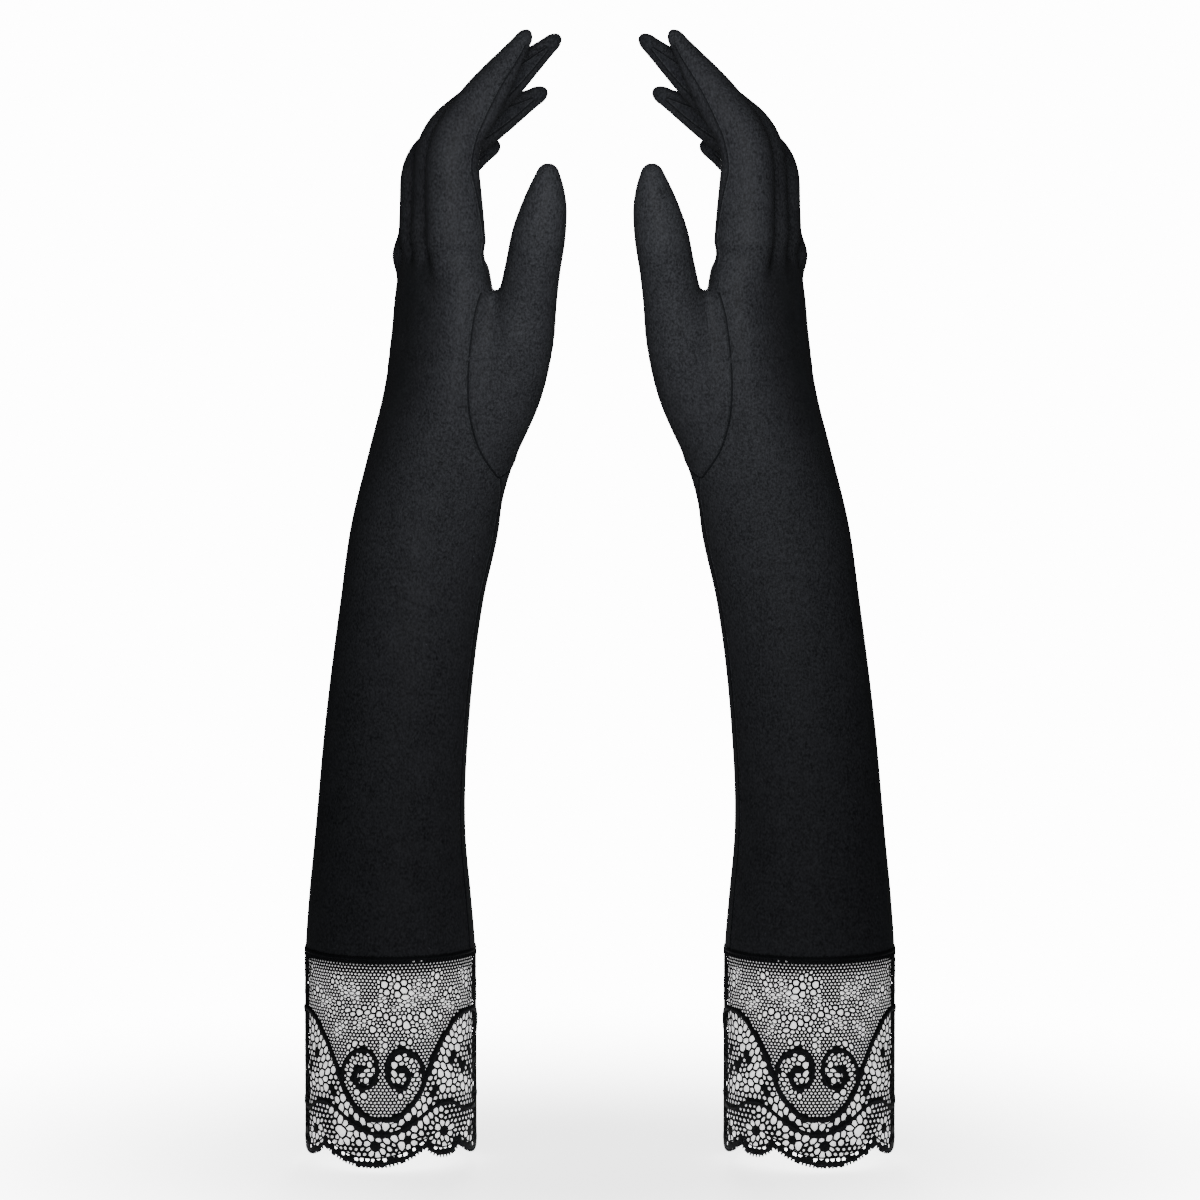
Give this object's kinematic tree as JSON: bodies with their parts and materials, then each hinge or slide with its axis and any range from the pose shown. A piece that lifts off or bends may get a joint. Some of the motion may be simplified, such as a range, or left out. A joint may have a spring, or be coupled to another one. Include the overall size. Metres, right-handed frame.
{
  "type": "opera gloves",
  "caption": "Pair of long fitted satin gloves with deep scalloped lace cuffs, shown as worn, with bending wrists, fingers and thumbs.",
  "frame": {"origin": "midway between the two cuffs, at the level of the lowest point of the lace hems", "axes": "+Z from the cuffs to the fingertips, +X from the left glove to the right glove, -Y towards the front, which is the thumb side of both gloves"},
  "size_m": [0.2304, 0.0904, 0.4303],
  "materials": {
    "satin": "satin",
    "fourchette_satin": "satin",
    "lace": "matte",
    "thread": "matte"
  },
  "bodies": {
    "left_sleeve": {"left_cuff_seam_band": "thread", "left_lace_cord": "lace", "left_lace_net": "lace", "left_lace_picot_edge": "lace", "left_sleeve_back_panel": "satin", "left_sleeve_palm_panel": "satin", "left_wrist_section": "satin"},
    "left_hand": {"left_hand_back_panel": "satin", "left_hand_palm_panel": "satin", "left_thumb_base_panel": "satin"},
    "left_thumb": {"left_thumb_stall": "satin"},
    "left_index": {"left_index_back_panel": "satin", "left_index_palm_panel": "satin", "left_index_fourchette_ulnar": "fourchette_satin"},
    "left_middle": {"left_middle_back_panel": "satin", "left_middle_palm_panel": "satin", "left_middle_fourchette_ulnar": "fourchette_satin", "left_middle_fourchette_radial": "fourchette_satin"},
    "left_ring": {"left_ring_back_panel": "satin", "left_ring_palm_panel": "satin", "left_ring_fourchette_ulnar": "fourchette_satin", "left_ring_fourchette_radial": "fourchette_satin"},
    "left_little": {"left_little_back_panel": "satin", "left_little_palm_panel": "satin", "left_little_fourchette_radial": "fourchette_satin"},
    "right_sleeve": {"right_cuff_seam_band": "thread", "right_lace_cord": "lace", "right_lace_net": "lace", "right_lace_picot_edge": "lace", "right_sleeve_back_panel": "satin", "right_sleeve_palm_panel": "satin", "right_wrist_section": "satin"},
    "right_hand": {"right_hand_back_panel": "satin", "right_hand_palm_panel": "satin", "right_thumb_base_panel": "satin"},
    "right_thumb": {"right_thumb_stall": "satin"},
    "right_index": {"right_index_back_panel": "satin", "right_index_palm_panel": "satin", "right_index_fourchette_ulnar": "fourchette_satin"},
    "right_middle": {"right_middle_back_panel": "satin", "right_middle_palm_panel": "satin", "right_middle_fourchette_ulnar": "fourchette_satin", "right_middle_fourchette_radial": "fourchette_satin"},
    "right_ring": {"right_ring_back_panel": "satin", "right_ring_palm_panel": "satin", "right_ring_fourchette_ulnar": "fourchette_satin", "right_ring_fourchette_radial": "fourchette_satin"},
    "right_little": {"right_little_back_panel": "satin", "right_little_palm_panel": "satin", "right_little_fourchette_radial": "fourchette_satin"}
  },
  "joints": [
    {"name": "pair_spacing", "type": "slide", "parent": "left_sleeve", "child": "right_sleeve", "axis": [1, 0, 0], "range_m": [0, 0.12]},
    {"name": "left_wrist_bend", "type": "hinge", "parent": "left_sleeve", "child": "left_hand", "pos_m": [-0.06506, 0, 0.25], "axis": [-0.2756, 0.9613, 0], "range_deg": [-45, 6], "deforming": ["left_wrist_section"]},
    {"name": "left_thumb_bend", "type": "hinge", "parent": "left_hand", "child": "left_thumb", "pos_m": [-0.02635, -0.03225, 0.3327], "axis": [-0.2756, 0.9613, 0], "range_deg": [-20, 20]},
    {"name": "left_index_bend", "type": "hinge", "parent": "left_hand", "child": "left_index", "pos_m": [-0.0409, -0.02394, 0.3464], "axis": [-0.2756, 0.9613, 0], "range_deg": [-15, 60]},
    {"name": "left_middle_bend", "type": "hinge", "parent": "left_hand", "child": "left_middle", "pos_m": [-0.04614, -0.00567, 0.3476], "axis": [-0.2756, 0.9613, 0], "range_deg": [-15, 60]},
    {"name": "left_ring_bend", "type": "hinge", "parent": "left_hand", "child": "left_ring", "pos_m": [-0.05192, 0.01233, 0.3464], "axis": [-0.2756, 0.9613, 0], "range_deg": [-15, 60]},
    {"name": "left_little_bend", "type": "hinge", "parent": "left_hand", "child": "left_little", "pos_m": [-0.05794, 0.02896, 0.3408], "axis": [-0.2756, 0.9613, 0], "range_deg": [-15, 60]},
    {"name": "right_wrist_bend", "type": "hinge", "parent": "right_sleeve", "child": "right_hand", "pos_m": [0.06506, 0, 0.25], "axis": [-0.2756, -0.9613, 0], "range_deg": [-45, 6], "deforming": ["right_wrist_section"]},
    {"name": "right_thumb_bend", "type": "hinge", "parent": "right_hand", "child": "right_thumb", "pos_m": [0.02635, -0.03225, 0.3327], "axis": [-0.2756, -0.9613, 0], "range_deg": [-20, 20]},
    {"name": "right_index_bend", "type": "hinge", "parent": "right_hand", "child": "right_index", "pos_m": [0.0409, -0.02394, 0.3464], "axis": [-0.2756, -0.9613, 0], "range_deg": [-15, 60]},
    {"name": "right_middle_bend", "type": "hinge", "parent": "right_hand", "child": "right_middle", "pos_m": [0.04614, -0.00567, 0.3476], "axis": [-0.2756, -0.9613, 0], "range_deg": [-15, 60]},
    {"name": "right_ring_bend", "type": "hinge", "parent": "right_hand", "child": "right_ring", "pos_m": [0.05192, 0.01233, 0.3464], "axis": [-0.2756, -0.9613, 0], "range_deg": [-15, 60]},
    {"name": "right_little_bend", "type": "hinge", "parent": "right_hand", "child": "right_little", "pos_m": [0.05794, 0.02896, 0.3408], "axis": [-0.2756, -0.9613, 0], "range_deg": [-15, 60]}
  ]
}
